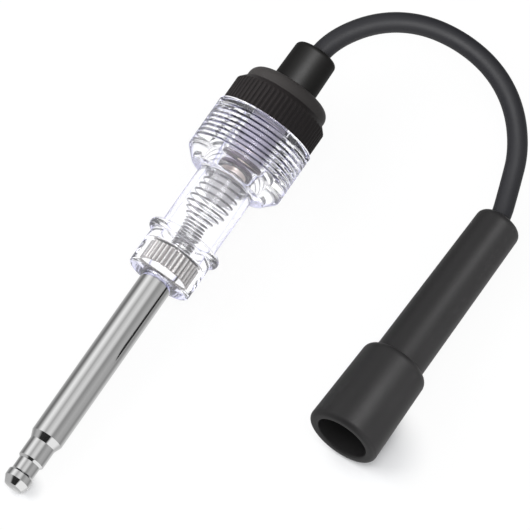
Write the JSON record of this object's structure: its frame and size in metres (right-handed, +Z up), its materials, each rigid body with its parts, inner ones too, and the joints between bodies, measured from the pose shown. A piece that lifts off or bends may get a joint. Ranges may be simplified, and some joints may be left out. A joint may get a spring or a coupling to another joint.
{
  "type": "ignition spark tester",
  "caption": "In-line ignition spark tester: a chromed probe in a clear threaded barrel with an indicator lamp and spring, a screw cap, and a short lead to a plug boot.",
  "frame": {"origin": "on the surface that the tester lies on, under the middle of the stiff tool from probe tip to strain relief", "axes": "+X along the tool's plan from the probe tip towards the cap, +Z up, with the lead and the boot lying on the -Y side"},
  "size_m": [0.1484, 0.0785, 0.0264],
  "materials": {
    "chromed_rod": "polished chrome plate on a steel turning",
    "plated_insert": "nickel plate, lightly dulled",
    "clear_plastic": "clear moulded plastic, glossy",
    "spring_steel": "bright drawn spring wire",
    "lamp_brass": "bright brass",
    "lamp_glass": "clear glass",
    "electrode_metal": "dull nickel",
    "lamp_bead": "black glassy bead",
    "lamp_solder": "tin solder",
    "black_plastic": "black moulded plastic, satin",
    "seal_rubber": "black rubber sheet",
    "boot_rubber": "black rubber, satin",
    "lead_jacket": "black lead jacket, smooth",
    "zinc_steel": "zinc plated pressing"
  },
  "bodies": {
    "housing": {"housing": "clear_plastic", "probe_rod": "chromed_rod", "knurled_insert": "plated_insert", "contact_spring": "spring_steel"},
    "lead_assembly": {"lamp_shell": "lamp_brass", "lamp_bulb": "lamp_glass", "lamp_stem": "lamp_glass", "lamp_electrode_shell": "electrode_metal", "lamp_electrode_tip": "electrode_metal", "lamp_insulator": "lamp_bead", "lamp_contact": "lamp_solder", "contact_holder": "black_plastic", "lead_terminal": "lamp_brass", "sealing_ring": "seal_rubber", "strain_relief": "boot_rubber", "lead": "lead_jacket", "boot": "boot_rubber", "plug_clip": "zinc_steel", "snap_ring": "spring_steel"},
    "screw_cap": {"screw_cap": "black_plastic"}
  },
  "joints": [
    {"name": "cap_lift", "type": "slide", "parent": "housing", "child": "lead_assembly", "axis": [0.9945, 0, 0.1045], "range_m": [0, 0.0061]},
    {"name": "cap_turn", "type": "hinge", "parent": "lead_assembly", "child": "screw_cap", "pos_m": [0.04063, 0, 0.01379], "axis": [0.9945, 0, 0.1045], "range_deg": [0, 1440]}
  ],
  "couplings": [
    {"joint": "cap_lift", "follows": "cap_turn", "m_per_rad": 0.00023873}
  ]
}
